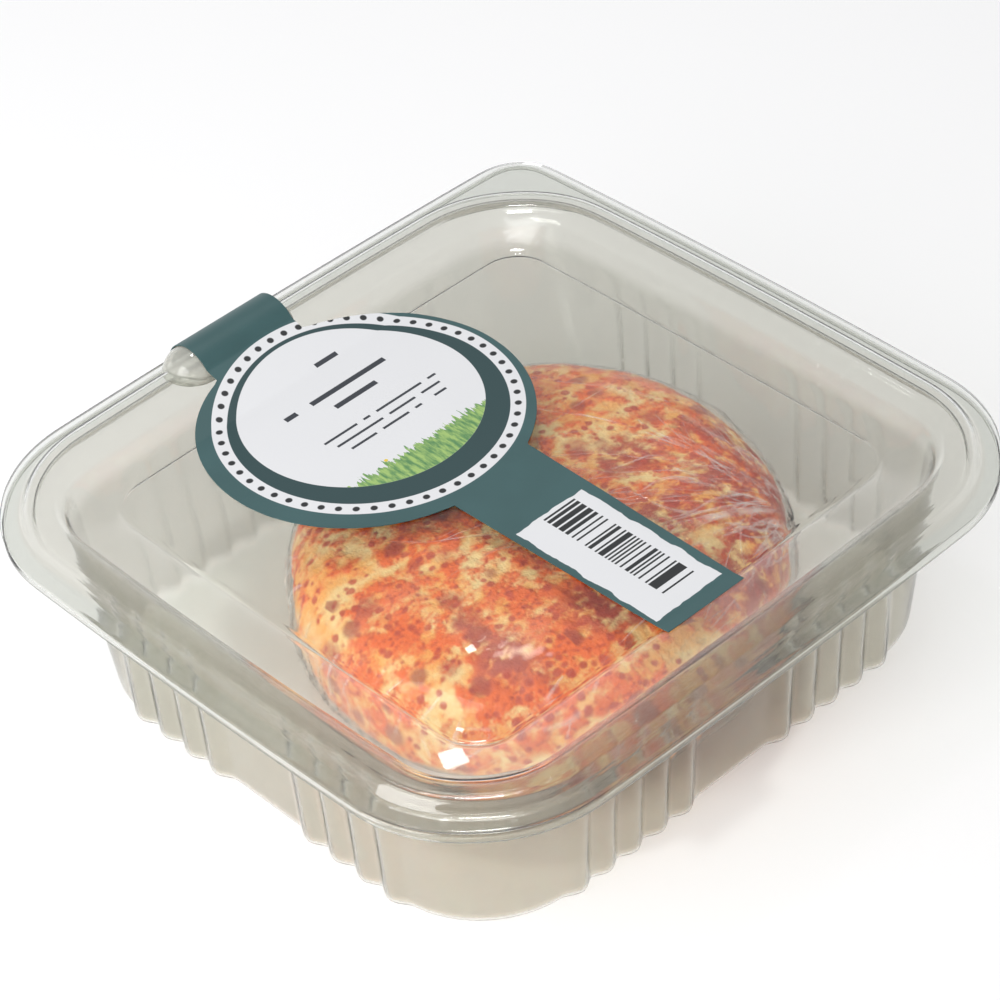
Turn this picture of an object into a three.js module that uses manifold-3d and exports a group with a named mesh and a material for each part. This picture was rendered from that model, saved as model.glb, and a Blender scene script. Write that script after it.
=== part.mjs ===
import * as THREE from "three";
import { mergeVertices } from "three/addons/utils/BufferGeometryUtils.js";
import Module from "manifold-3d";

// Paprika goat cheese in a shut clear hinged box, in millimetres.
// The origin is the middle of the tray's underside, +Z is up and the hinge bulge is on the +Y side.

// Heights
const ringTop = 38.1;
const flangeTop = 36.1;
const panelTop = 35.0;
const sheet = 0.6;
const gap = 0.3;
const lipDrop = 1.0;

// Outlines: half sizes along X and Y with their corner radii, and how far the sides bow out
const flange = { x: 68.1, y: 66.0, radius: 26.5 };
const ring = { x: 63.7, y: 62.1, radius: 22.7 };
const well = { x: 58.0, y: 55.7, radius: 15.0 };
const panel = { x: 48.6, y: 46.2, radius: 7.5 };
const floor = { x: 56.8, y: 52.2, radius: 20.0 };
const tabRadius = 8.5;
const trayTabRadius = 5.5;
const sideBow = 1.3;
const panelBow = 0.4;

// Bends of the lid's ring and the tray's bead, measured from the outlines above
const ringInner = 1.2;
const ringInnerRound = 3.4;
const ringOuter = 0.7;
const ringFoot = 0.9;
const ringBend = 0.6;
const wellBend = 0.5;
const beadInner = 1.9;
const beadInnerRound = 4.1;
const beadOuter = 2.2;
const beadOuterRound = 2.0;
const beadFoot = 1.2;
const beadBend = 1.2;
const innerTurn = 0.2;

// Tray wall: heights where the flutes and the wall end, and the floor's rounded edge outside and
// inside as height, inset and share of the flutes' depth
const flutesEnd = 26.5;
const flutesEndShare = 0.75;
const tubTop = 31.0;
const floorEdge = [[0, 1.3, 0.85], [0.4, 0.4, 0.95], [1.3, 0, 1]];
const floorEdgeInside = [[1.7, 0.6, 1], [0.9, 1.0, 0.95], [0.6, 1.9, 0.85]];

// Flutes of the tray wall
const plainHalf = 8.6;
const lobesOnX = 5;
const lobePitchOnX = 6.0;
const lobesOnY = 4;
const lobePitchOnY = 6.6;
const lobeDepth = 1.7;

// Hinge bulge
const hingeRadius = 5.7;
const hingeY = 61.6;
const hingeZ = 35.1;
const hingeFrom = -20.8;
const hingeTo = 6.6;

// Label band
const paper = 0.3;
const discRadius = 29.5;
const discX = -3.5;
const discY = 29.4;
const strapHalf = 9.6;
const strapEndHalf = 8.7;
const strapFront = -48.5;
const bandX = -5.8;
const bandHalf = 9.9;
const frontLift = 0.3;
const discSlantX = 0.9;
const discSlantY = 1.3;
const panelSteps = 40;
const climbSteps = 7;
const hingeSteps = 16;

// Cheese in its film
const cheeseX = 2.9;
const cheeseY = -5.6;
const cheeseAcross = 44.0;
const cheeseAlong = 48.0;
const cheeseTurn = -Math.PI / 4;
const cheeseTop = 32.4;
const cheeseSquareness = 3.4;
const lumpHeight = 0.45;
const cheeseAround = 56;
const cheeseLevels = 22;

const wasm = await Module();
wasm.setup();

// Stations along a half side: the plain middle, the lobes and the way round to the corner's diagonal.
const lobeSteps = 4;
const cornerSteps = 7;
const plainSteps = 4;

function stations(lobes, pitch, halfLength) {
  const list = [0, plainHalf * 0.5];
  for (let lobe = 0; lobe < lobes; lobe++)
    for (let step = 0; step < lobeSteps; step++) list.push(plainHalf + (lobe + step / lobeSteps) * pitch);
  const end = plainHalf + lobes * pitch;
  for (let step = 0; step <= cornerSteps; step++) list.push(end + ((halfLength - end) * step) / cornerSteps);
  return list;
}

// The same for an outline without flutes: the straight and then the quarter turn's first half.
function plainStations(straight, total) {
  const list = [];
  for (let step = 0; step < plainSteps; step++) list.push((straight * step) / plainSteps);
  for (let step = 0; step < cornerSteps; step++)
    list.push(straight + ((total - straight) * step) / (cornerSteps - 1));
  return list;
}

// Height of a flute, 0 in a notch and 1 on a crest, at a distance from the middle of the side.
function flute(distance, lobes, pitch) {
  const along = (distance - plainHalf) / pitch;
  if (along <= 0 || along >= lobes) return 0;
  return Math.pow(Math.abs(Math.sin(Math.PI * along)), 0.7);
}

// The eighth of an outline from the middle of a side (at half size a) to the corner (other half size b).
function eighth(a, b, radius, swell, depth, lobes, pitch) {
  const straight = b - radius;
  const total = straight + (radius * Math.PI) / 4;
  const places = depth < 0 ? plainStations(straight, total) : stations(lobes, pitch, total);
  return places.map((distance) => {
    const turn = Math.max(0, distance - straight) / radius;
    const out = Math.max(0, depth) * flute(distance, lobes, pitch);
    const along = Math.min(distance, straight) + Math.sin(turn) * (radius + out);
    const across = a - radius + Math.cos(turn) * (radius + out);
    return [across + swell * Math.max(0, 1 - (along / b) ** 2), along];
  });
}

// A closed outline, anticlockwise from the middle of the +X side. corner is the radius at +X +Y, swell
// is how far the sides bow out, and depth is that of the flutes, or below 0 for a plain outline.
function outline(halfX, halfY, radius, z, { swell = 0, depth = -1, corner = radius } = {}) {
  const points = [];
  const radii = [corner, radius, radius, radius];
  for (let quarter = 0; quarter < 4; quarter++) {
    const r = radii[quarter];
    const onX = quarter % 2 === 0;
    const first = eighth(onX ? halfX : halfY, onX ? halfY : halfX, r, swell, depth,
      onX ? lobesOnY : lobesOnX, onX ? lobePitchOnY : lobePitchOnX);
    const second = eighth(onX ? halfY : halfX, onX ? halfX : halfY, r, swell, depth,
      onX ? lobesOnX : lobesOnY, onX ? lobePitchOnX : lobePitchOnY);
    const arc = first.map(([across, along]) => [across, along]);
    second.reverse().slice(1, -1).forEach(([across, along]) => arc.push([along, across]));
    const turn = (quarter * Math.PI) / 2;
    const c = Math.round(Math.cos(turn));
    const s = Math.round(Math.sin(turn));
    arc.forEach(([x, y]) => points.push([x * c - y * s, x * s + y * c, z]));
  }
  return points;
}

// An outline that lies outside a named one, or inside it below 0.
function around(base, grow, z, options = {}, radiusGrow = grow) {
  return outline(base.x + grow, base.y + grow, base.radius + radiusGrow, z, { swell: sideBow, ...options });
}

// A closed body through a list of outlines: its two ends are closed flat, or join up in a loop.
function skin(rows, looped = false) {
  const count = rows[0].length;
  const position = [];
  const index = [];
  rows.forEach((row) => row.forEach((point) => position.push(...point)));
  for (let row = 0; row < rows.length - (looped ? 0 : 1); row++)
    for (let i = 0; i < count; i++) {
      const j = (i + 1) % count;
      const next = ((row + 1) % rows.length) * count;
      index.push(row * count + i, row * count + j, next + j, row * count + i, next + j, next + i);
    }
  if (looped) return { position, index };
  const first = position.length / 3;
  position.push(0, 0, rows[0][0][2], 0, 0, rows[rows.length - 1][0][2]);
  const last = (rows.length - 1) * count;
  for (let i = 0; i < count; i++) {
    const j = (i + 1) % count;
    index.push(first, j, i, first + 1, last + i, last + j);
  }
  return { position, index };
}

function solid({ position, index }) {
  return new wasm.Manifold(
    new wasm.Mesh({
      numProp: 3,
      vertProperties: new Float32Array(position),
      triVerts: new Uint32Array(index),
    }),
  );
}

// A three.js geometry as a solid.
function merged(geometry) {
  geometry.deleteAttribute("normal");
  geometry.deleteAttribute("uv");
  const joined = mergeVertices(geometry, 1e-4);
  return solid({ position: joined.getAttribute("position").array, index: joined.index.array });
}

function geometryOf(body) {
  const mesh = body.getMesh();
  const geometry = new THREE.BufferGeometry();
  const position = new Float32Array(mesh.numVert * 3);
  for (let i = 0; i < mesh.numVert; i++)
    for (let k = 0; k < 3; k++) position[i * 3 + k] = mesh.vertProperties[i * mesh.numProp + k];
  geometry.setAttribute("position", new THREE.BufferAttribute(position, 3));
  geometry.setIndex(new THREE.BufferAttribute(mesh.triVerts, 1));
  geometry.computeVertexNormals();
  return geometry;
}

const group = new THREE.Group();

function addMesh(name, body, color, roughness) {
  const material = new THREE.MeshStandardMaterial({ color, roughness, metalness: 0 });
  const mesh = new THREE.Mesh(geometryOf(body), material);
  mesh.name = name;
  group.add(mesh);
}

// Tray: flat floor, fluted drafted wall, a bead that nests under the lid's ring, and a lipped flange.
const trayFlangeTop = flangeTop - sheet - gap;
const beadTop = ringTop - sheet - gap;
const bead = sheet + gap;

function wallRow(z, inset, depth) {
  const rise = z / beadTop;
  const halfX = floor.x + (well.x - bead - floor.x) * rise - inset;
  const halfY = floor.y + (well.y - bead - floor.y) * rise - inset;
  const radius = floor.radius + (well.radius - bead - floor.radius) * rise - inset;
  return outline(halfX, halfY, radius, z, { swell: sideBow * rise, depth });
}

const edgeRow = ([z, inset, share]) => wallRow(z, inset, lobeDepth * share);
const tub = skin([
  ...floorEdge.map(edgeRow),
  wallRow(flutesEnd, 0, lobeDepth * flutesEndShare),
  wallRow(tubTop, 0, 0),
  wallRow(tubTop, sheet, 0),
  wallRow(flutesEnd, sheet, lobeDepth * flutesEndShare),
  ...floorEdgeInside.map(edgeRow),
]);
const trayCorner = { corner: trayTabRadius };
const beadUnder = beadTop - sheet;
const trayFlangeUnder = trayFlangeTop - sheet;
const rimBottom = tubTop - 1.0;
const rim = skin([
  wallRow(rimBottom, -0.1, -1),
  around(well, -bead, beadUnder - beadBend),
  around(well, beadInner, beadUnder, {}, beadInnerRound),
  around(ring, -beadOuter, beadUnder, {}, -beadOuterRound),
  around(ring, -beadFoot, trayFlangeUnder),
  around(flange, -sheet, trayFlangeUnder, trayCorner),
  around(flange, -sheet, trayFlangeUnder - lipDrop, trayCorner),
  around(flange, 0, trayFlangeUnder - lipDrop, trayCorner),
  around(flange, 0, trayFlangeTop, trayCorner),
  around(ring, sheet - beadFoot, trayFlangeTop),
  around(ring, sheet - beadOuter, beadTop, {}, sheet - beadOuterRound),
  around(well, beadInner - innerTurn, beadTop, {}, beadInnerRound - innerTurn),
  around(well, -bead - sheet, beadUnder - 1.0),
  wallRow(rimBottom, sheet + 0.1, -1),
], true);
addMesh("tray", solid(tub).add(solid(rim)), 0xd9dbd6, 0.15);

// Lid: recessed panel, sloping well, raised ring, step and flat flange with a pull tab at one corner.
const lidCorner = { corner: tabRadius };
const panelSides = { swell: panelBow };
const lidTop = [
  around(panel, 0, panelTop, panelSides),
  around(well, 0, ringTop - wellBend),
  around(well, ringInner, ringTop, {}, ringInnerRound),
  around(ring, -ringOuter, ringTop),
  around(ring, 0, ringTop - ringBend),
  around(ring, ringFoot, flangeTop),
  around(flange, 0, flangeTop, lidCorner),
];
const ringUnder = ringTop - sheet;
const flangeUnder = flangeTop - sheet;
const lidUnder = [
  around(flange, 0, flangeUnder, lidCorner),
  around(ring, ringFoot - sheet, flangeUnder),
  around(ring, -sheet, ringUnder - wellBend),
  around(ring, -ringOuter - 0.3, ringUnder),
  around(well, ringInner + innerTurn, ringUnder, {}, ringInnerRound + innerTurn),
  around(well, 0.1, ringUnder - wellBend - 0.05, {}, 0.8),
  around(panel, 0.1, panelTop - sheet, panelSides, 0),
];
const lidSheet = solid(skin([...lidUnder.reverse(), ...lidTop.reverse()]));

const hingeLength = hingeTo - hingeFrom;
const hingeX = (hingeFrom + hingeTo) / 2;
const wide = 30;

// A tube with rounded ends that lies across the ring and flange.
function tube(radius) {
  const capsule = new THREE.CapsuleGeometry(radius, hingeLength - 2 * hingeRadius, 6, 28);
  capsule.rotateZ(Math.PI / 2);
  capsule.translate(hingeX, hingeY, hingeZ);
  return merged(capsule);
}

// A block as long as the hinge and more, from y0 to y1 and z0 to z1.
function block(y0, y1, z0, z1) {
  const box = new THREE.BoxGeometry(hingeLength + wide, y1 - y0, z1 - z0);
  box.translate(hingeX, (y0 + y1) / 2, (z0 + z1) / 2);
  return merged(box);
}

const beadEdge = ring.y + 1.4;
const beadRoom = block(hingeY - wide, beadEdge, 0, ringUnder);
const overFlange = block(hingeY - wide, hingeY + wide, flangeUnder, hingeZ + wide);
const hump = tube(hingeRadius).intersect(overFlange).subtract(beadRoom);
const hollowRoom = block(hingeY - wide, hingeY + wide, flangeUnder - 5, hingeZ + wide);
const hollow = tube(hingeRadius - sheet).intersect(hollowRoom);
const lid = lidSheet.add(hump).subtract(hollow);
addMesh("lid", lid, 0xd9dbd6, 0.15);

// Label: one paper band along Y that lies on the panel, climbs the well and goes over the hinge bulge.
const onPanel = panelTop + gap;
const onRing = ringTop + gap;
const overHinge = hingeRadius + gap;

function bandPath() {
  const path = [];
  const footY = panel.y - 0.2;
  for (let step = 0; step < panelSteps; step++) {
    const y = strapFront + ((footY - strapFront) * step) / panelSteps;
    path.push([y, onPanel + frontLift * Math.max(0, -panel.y - y)]);
  }
  const rise = Math.asin((onRing - hingeZ) / overHinge);
  const startAngle = Math.PI - rise * 1.05;
  const startY = hingeY + overHinge * Math.cos(startAngle);
  const startZ = hingeZ + overHinge * Math.sin(startAngle);
  for (let step = 0; step < climbSteps; step++) {
    const share = step / climbSteps;
    path.push([footY + (startY - footY) * share, onPanel + (startZ - onPanel) * share]);
  }
  for (let step = 0; step <= hingeSteps; step++) {
    const angle = startAngle - ((startAngle + 0.12) * step) / hingeSteps;
    path.push([hingeY + overHinge * Math.cos(angle), hingeZ + overHinge * Math.sin(angle)]);
  }
  return path;
}

// Left and right edge of the band at a place on its path: a tapered strap, a round part that slants
// over to the side where it climbs, and the strap over the hinge.
function bandEdges(y, z) {
  const climb = Math.min(z, onRing) - onPanel;
  const round = discRadius ** 2 - (y + climb * discSlantY - discY) ** 2;
  const reach = round > 0 ? Math.sqrt(round) : 0;
  const strapBack = discY - discRadius;
  const front = strapHalf + ((strapEndHalf - strapHalf) * (strapBack - y)) / (strapBack - strapFront);
  const strap = y < discY ? Math.min(front, strapHalf) : bandHalf;
  const middle = y < discY ? 0 : bandX;
  const disc = discX - climb * discSlantX;
  return [Math.min(middle - strap, disc - reach), Math.max(middle + strap, disc + reach)];
}

function ribbon(path, edges, thickness) {
  const rows = path.map(([y, z], i) => {
    const before = path[Math.max(0, i - 1)];
    const after = path[Math.min(path.length - 1, i + 1)];
    const length = Math.hypot(after[0] - before[0], after[1] - before[1]);
    const ny = -(after[1] - before[1]) / length;
    const nz = (after[0] - before[0]) / length;
    const [left, right] = edges(y, z);
    return [
      [left, y, z],
      [left, y + ny * thickness, z + nz * thickness],
      [right, y + ny * thickness, z + nz * thickness],
      [right, y, z],
    ];
  });
  const position = rows.flat(2);
  const index = [0, 2, 1, 0, 3, 2];
  for (let row = 0; row < rows.length - 1; row++)
    for (let i = 0; i < 4; i++) {
      const a = row * 4 + i;
      const b = row * 4 + ((i + 1) % 4);
      index.push(a, b, b + 4, a, b + 4, a + 4);
    }
  const end = (rows.length - 1) * 4;
  index.push(end, end + 1, end + 2, end, end + 2, end + 3);
  return { position, index };
}
addMesh("label", solid(ribbon(bandPath(), bandEdges, paper)), 0x486c6c, 0.6);

// Cheese: an oval round with full sides and soft edges, a little lumpy, flat where it rests.
const cheeseFloor = sheet + gap;

function lump(x, y, z) {
  const broad = Math.sin(x * 0.11 + 1.3) * Math.sin(y * 0.13 + 0.4);
  const slanted = 0.6 * Math.sin(x * 0.05 - y * 0.21 + z * 0.1);
  return (broad + slanted) * lumpHeight;
}

function cheeseBody() {
  const half = (cheeseTop - cheeseFloor) / 2;
  const middle = (cheeseTop + cheeseFloor) / 2;
  const power = 2 / cheeseSquareness;
  const shaped = (value) => Math.sign(value) * Math.pow(Math.abs(value), power);
  const rows = [];
  for (let level = 1; level < cheeseLevels; level++) {
    const tilt = -Math.PI / 2 + (Math.PI * level) / cheeseLevels;
    const spread = shaped(Math.cos(tilt));
    const row = [];
    for (let step = 0; step < cheeseAround; step++) {
      const angle = (2 * Math.PI * step) / cheeseAround;
      const u = cheeseAcross * spread * Math.cos(angle);
      const v = cheeseAlong * spread * Math.sin(angle);
      const x = u * Math.cos(cheeseTurn) - v * Math.sin(cheeseTurn);
      const y = u * Math.sin(cheeseTurn) + v * Math.cos(cheeseTurn);
      let z = middle + half * shaped(Math.sin(tilt));
      const k = 1 + lump(x, y, z) / Math.max(12, Math.hypot(x, y));
      if (z > middle) z += lump(y, x, 0) * 0.9 * (1 - spread ** 2);
      row.push([cheeseX + x * k, cheeseY + y * k, z]);
    }
    rows.push(row);
  }
  return rows;
}

function cappedSkin(rows, bottom, top) {
  const body = skin(rows);
  const centres = body.position.length - 6;
  [...bottom, ...top].forEach((value, i) => (body.position[centres + i] = value));
  return body;
}
const cheese = cappedSkin(cheeseBody(), [cheeseX, cheeseY, cheeseFloor], [cheeseX, cheeseY, cheeseTop]);
addMesh("cheese", solid(cheese), 0xe8914f, 0.7);

export default group;
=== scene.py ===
import math
from random import Random

import bpy
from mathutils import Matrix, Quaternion, Vector, noise


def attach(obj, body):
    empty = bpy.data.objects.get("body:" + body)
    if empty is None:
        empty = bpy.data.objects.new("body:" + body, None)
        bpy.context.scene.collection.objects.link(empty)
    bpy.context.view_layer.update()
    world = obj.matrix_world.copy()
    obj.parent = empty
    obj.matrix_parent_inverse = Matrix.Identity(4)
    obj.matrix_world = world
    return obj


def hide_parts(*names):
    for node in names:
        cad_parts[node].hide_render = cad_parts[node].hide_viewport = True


# Paprika goat cheese in a shut clear box. Metres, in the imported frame; lengths in the dictionaries are mm.
mm = 0.001
weldReach = 0.000002
levelReach = 0.00005
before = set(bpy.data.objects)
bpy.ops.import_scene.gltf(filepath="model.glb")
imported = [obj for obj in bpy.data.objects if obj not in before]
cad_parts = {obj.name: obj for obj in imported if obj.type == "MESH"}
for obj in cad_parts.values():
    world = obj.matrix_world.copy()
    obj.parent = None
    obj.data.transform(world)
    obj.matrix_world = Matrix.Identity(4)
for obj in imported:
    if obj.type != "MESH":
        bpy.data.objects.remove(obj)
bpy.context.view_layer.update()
print("frame loaded:", sorted(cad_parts))


# Helpers

def deselectAll():
    if bpy.context.mode != "OBJECT":
        bpy.ops.object.mode_set(mode="OBJECT")
    bpy.ops.object.select_all(action="DESELECT")


def makeActive(piece):
    deselectAll()
    piece.select_set(True)
    bpy.context.view_layer.objects.active = piece


def editMode(mode="VERT"):
    bpy.ops.object.mode_set(mode="EDIT")
    bpy.ops.mesh.select_mode(type=mode)
    bpy.ops.mesh.select_all(action="DESELECT")


def objectMode():
    bpy.ops.object.mode_set(mode="OBJECT")


# Ends in edit mode with the flagged points selected.
def selectPoints(piece, flags):
    editMode()
    objectMode()
    piece.data.vertices.foreach_set("select", flags)
    bpy.ops.object.mode_set(mode="EDIT")


def addPiece(name, add, **settings):
    deselectAll()
    add(**settings)
    piece = bpy.context.object
    piece.name = name
    return piece


def joinPieces(name, pieces):
    deselectAll()
    for piece in pieces:
        piece.select_set(True)
    bpy.context.view_layer.objects.active = pieces[0]
    bpy.ops.object.join()
    joined = bpy.context.object
    joined.name = name
    return joined


def applyPlace(piece):
    makeActive(piece)
    bpy.ops.object.transform_apply(location=True, rotation=True, scale=True)


def applyModifier(piece, kind, **settings):
    makeActive(piece)
    modifier = piece.modifiers.new(kind.title(), kind)
    for name, value in settings.items():
        setattr(modifier, name, value)
    bpy.ops.object.modifier_apply(modifier=modifier.name)


def shadeSmooth(piece, angle=None):
    makeActive(piece)
    if angle is None:
        bpy.ops.object.shade_smooth()
    else:
        bpy.ops.object.shade_smooth_by_angle(angle=math.radians(angle))


# Makes the faces agree, and turns them over where turnOver says so of the mesh.
def alignFaces(piece, turnOver):
    bpy.ops.mesh.select_all(action="SELECT")
    bpy.ops.mesh.normals_make_consistent(inside=False)
    objectMode()
    if turnOver(piece.data):
        bpy.ops.object.mode_set(mode="EDIT")
        bpy.ops.mesh.flip_normals()
        objectMode()


def finishPiece(piece, material, node):
    piece.data.materials.clear()
    piece.data.materials.append(material)
    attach(piece, "root")
    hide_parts(node)


def setPlaces(mesh, places):
    mesh.vertices.foreach_set("co", [c for place in places for c in place])
    mesh.update()


def smoothStep(low, high, value):
    share = min(1.0, max(0.0, (value - low) / (high - low)))
    return share * share * (3 - 2 * share)


# Outlines of the box: rounded squares with slightly bowed sides, with flutes on the tray's wall

boxShape = {
    "ringTop": 38.1, "flangeTop": 36.1, "panelTop": 35.0,
    "flange": (68.1, 66.0, 26.5), "ring": (63.7, 62.1, 22.7),
    "well": (58.0, 55.7, 15.0), "panel": (48.6, 46.2, 7.5), "floor": (56.8, 52.2, 20.0),
    "slope": (53.3, 50.95, 11.25),
    "tabCorner": 8.5, "bow": 1.3, "sheet": 0.45, "cadSheet": 0.6, "gap": 0.3, "creaseAngle": 60,
}
fluteShape = {
    "plainHalf": 8.6, "onX": (5, 6.0), "onY": (4, 6.6), "depth": 1.6, "soft": 0.35,
    "plainSteps": (0, 0.5, 0.85), "cornerSteps": 9,
}


def stations(lobes, pitch, length, steps):
    plain, cornerSteps = fluteShape["plainHalf"], fluteShape["cornerSteps"]
    places = [plain * share for share in fluteShape["plainSteps"]]
    places += [plain + (lobe + step / steps) * pitch for lobe in range(lobes) for step in range(steps)]
    end = plain + lobes * pitch
    places += [end + (length - end) * step / cornerSteps for step in range(cornerSteps + 1)]
    return places


def fluteHeight(distance, lobes, pitch):
    along = (distance - fluteShape["plainHalf"]) / pitch
    if along <= 0 or along >= lobes:
        return 0
    soft = fluteShape["soft"]
    return (math.hypot(math.sin(math.pi * along), soft) - soft) / (math.hypot(1, soft) - soft)


def eighth(a, b, radius, swell, depth, flutes, steps):
    lobes, pitch = flutes
    straight = b - radius
    points = []
    for distance in stations(lobes, pitch, straight + radius * math.pi / 4, steps):
        turn = max(0, distance - straight) / radius
        out = radius + depth * fluteHeight(distance, lobes, pitch)
        along = min(distance, straight) + math.sin(turn) * out
        across = a - radius + math.cos(turn) * out
        points.append((across + swell * max(0, 1 - (along / b) ** 2), along))
    return points


# One closed row, anticlockwise from the middle of the +X side; size is half X, half Y and corner radius.
def outline(size, z, grow=0.0, radiusGrow=None, swell=None, depth=0.0, corner=None, steps=5):
    swell = boxShape["bow"] if swell is None else swell
    halfX, halfY = size[0] + grow, size[1] + grow
    radius = size[2] + (grow if radiusGrow is None else radiusGrow)
    points = []
    for quarter, r in enumerate((corner or radius, radius, radius, radius)):
        onX = quarter % 2 == 0
        a, b = (halfX, halfY) if onX else (halfY, halfX)
        flutesA, flutesB = (("onY", "onX") if onX else ("onX", "onY"))
        arc = eighth(a, b, r, swell, depth, fluteShape[flutesA], steps)
        back = eighth(b, a, r, swell, depth, fluteShape[flutesB], steps)
        arc += [(across, along) for along, across in reversed(back[1:-1])]
        c, s = round(math.cos(quarter * math.pi / 2)), round(math.sin(quarter * math.pi / 2))
        points += [(x * c - y * s, x * s + y * c, z) for x, y in arc]
    return points


# A row is its outline, level, height above that and growth. The growth of its radius, its bow and the growth
# of its tab's corner follow where they aren't the usual ones.
def sheetRows(rows, levels, corner):
    def made(form, level, rise, grow, radiusGrow=None, swell=None, cornerGrow=0):
        tab = corner + cornerGrow if form == "flange" else None
        return outline(boxShape[form], levels[level] + rise, grow, radiusGrow, swell, corner=tab)

    return [made(*row) for row in rows]


# A grid is wrapped round through the rows, its seam is welded, it is smoothed and the first row is filled.
def loftShell(name, rows, floorDown):
    shell = addPiece(name, bpy.ops.mesh.primitive_grid_add,
                     x_subdivisions=len(rows[0]), y_subdivisions=len(rows) - 1, size=0.1)
    places = [c * mm for row in rows for point in row + row[:1] for c in point]
    shell.data.vertices.foreach_set("co", places)
    editMode()
    bpy.ops.mesh.select_all(action="SELECT")
    bpy.ops.mesh.remove_doubles(threshold=weldReach)
    objectMode()
    applyModifier(shell, "SUBSURF", levels=1, render_levels=1, use_limit_surface=False)
    editMode()
    bpy.ops.mesh.select_non_manifold()
    objectMode()
    level = rows[0][0][2] * mm
    atLevel = [point.select and abs(point.co.z - level) < levelReach for point in shell.data.vertices]
    selectPoints(shell, atLevel)
    bpy.ops.mesh.edge_face_add()

    def floorWrong(mesh):
        floor = max(mesh.polygons, key=lambda face: face.area)
        return (floor.normal.z < 0) != floorDown

    alignFaces(shell, floorWrong)
    return shell


def giveThickness(shell, even=True):
    applyModifier(shell, "SOLIDIFY", thickness=boxShape["sheet"] * mm, offset=-1, use_even_offset=even)
    shadeSmooth(shell, boxShape["creaseAngle"])


# Node groups shared by the materials

def newGroup(name, inputs, outputs):
    group = bpy.data.node_groups.new(name, "ShaderNodeTree")
    for socket, kind, value in inputs:
        made = group.interface.new_socket(name=socket, in_out="INPUT", socket_type=kind)
        if value is not None:
            made.default_value = value
    for socket, kind in outputs:
        group.interface.new_socket(name=socket, in_out="OUTPUT", socket_type=kind)
    return group, group.nodes.new("NodeGroupInput"), group.nodes.new("NodeGroupOutput")


def mathNode(tree, operation, first, second=None, third=None, clamp=False):
    node = tree.nodes.new("ShaderNodeMath")
    node.operation = operation
    node.use_clamp = clamp
    for index, value in enumerate((first, second, third)):
        if value is None:
            continue
        if isinstance(value, (int, float)):
            node.inputs[index].default_value = value
        else:
            tree.links.new(value, node.inputs[index])
    return node.outputs[0]


def times(tree, first, second):
    return mathNode(tree, "MULTIPLY", first, second)


def farNode(tree, x, y):
    squares = [times(tree, side, side) for side in (x, y)]
    return mathNode(tree, "SQRT", mathNode(tree, "ADD", *squares))


def splitAxes(tree, vector):
    node = tree.nodes.new("ShaderNodeSeparateXYZ")
    tree.links.new(vector, node.inputs[0])
    return node.outputs


def noiseNode(tree, vector, scale, detail=3.0, roughness=0.5, distortion=0.0):
    node = tree.nodes.new("ShaderNodeTexNoise")
    node.inputs["Scale"].default_value = scale
    node.inputs["Detail"].default_value = detail
    node.inputs["Roughness"].default_value = roughness
    node.inputs["Distortion"].default_value = distortion
    tree.links.new(vector, node.inputs["Vector"])
    return node.outputs["Fac"]


def spread(tree, value, low, high):
    node = tree.nodes.new("ShaderNodeMapRange")
    node.interpolation_type = "SMOOTHSTEP"
    node.inputs["From Min"].default_value = low
    node.inputs["From Max"].default_value = high
    tree.links.new(value, node.inputs["Value"])
    return node.outputs["Result"]


def mixColour(tree, factor, first, second):
    node = tree.nodes.new("ShaderNodeMix")
    node.data_type = "RGBA"
    for socket, value in (("Factor", factor), ("A", first), ("B", second)):
        target = [s for s in node.inputs if s.name == socket and s.enabled and s.type != "VECTOR"]
        target = [s for s in target if (s.type == "RGBA") == (socket != "Factor")][0]
        if isinstance(value, tuple):
            target.default_value = (*value, 1)
        elif isinstance(value, (int, float)):
            target.default_value = value
        else:
            tree.links.new(value, target)
    return [s for s in node.outputs if s.type == "RGBA"][0]


def stretched(tree, vector, scale, turn=(0, 0, 0)):
    node = tree.nodes.new("ShaderNodeMapping")
    node.inputs["Scale"].default_value = scale
    node.inputs["Rotation"].default_value = turn
    tree.links.new(vector, node.inputs["Vector"])
    return node.outputs["Vector"]


# Slow waves and fine scuffs of a thin formed sheet.
waveLook = {
    "scale": 60, "scuffStretch": (400, 900, 60), "scuffEdge": (0.55, 0.8), "scuffed": 0.25, "smooth": 0.05,
}


def makeSheetWaves():
    look = waveLook
    group, into, out = newGroup(
        "SheetWaves",
        [("Vector", "NodeSocketVector", None), ("Scuffs", "NodeSocketFloat", 0.3)],
        [("Height", "NodeSocketFloat"), ("Roughness", "NodeSocketFloat")],
    )
    slow = noiseNode(group, into.outputs["Vector"], look["scale"], 1)
    fine = noiseNode(group, stretched(group, into.outputs["Vector"], look["scuffStretch"]), 1.0, 1)
    scuff = times(group, spread(group, fine, *look["scuffEdge"]), into.outputs["Scuffs"])
    rough = mathNode(group, "MULTIPLY_ADD", scuff, look["scuffed"], look["smooth"])
    group.links.new(slow, out.inputs["Height"])
    group.links.new(rough, out.inputs["Roughness"])
    return group


sheetWaves = makeSheetWaves()


def newMaterial(name, colour=None):
    material = bpy.data.materials.new(name)
    material.use_nodes = True
    tree = material.node_tree
    shader = tree.nodes["Principled BSDF"]
    if colour:
        shader.inputs["Base Color"].default_value = (*colour, 1)
    place = tree.nodes.new("ShaderNodeTexCoord").outputs["Object"]
    return material, tree, shader, place


def makeClear(shader, ior, clear=1.0):
    shader.inputs["Transmission Weight"].default_value = clear
    shader.inputs["IOR"].default_value = ior


def addRoughness(tree, shader, value, change, least):
    tree.links.new(mathNode(tree, "MULTIPLY_ADD", value, change, least), shader.inputs["Roughness"])


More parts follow.
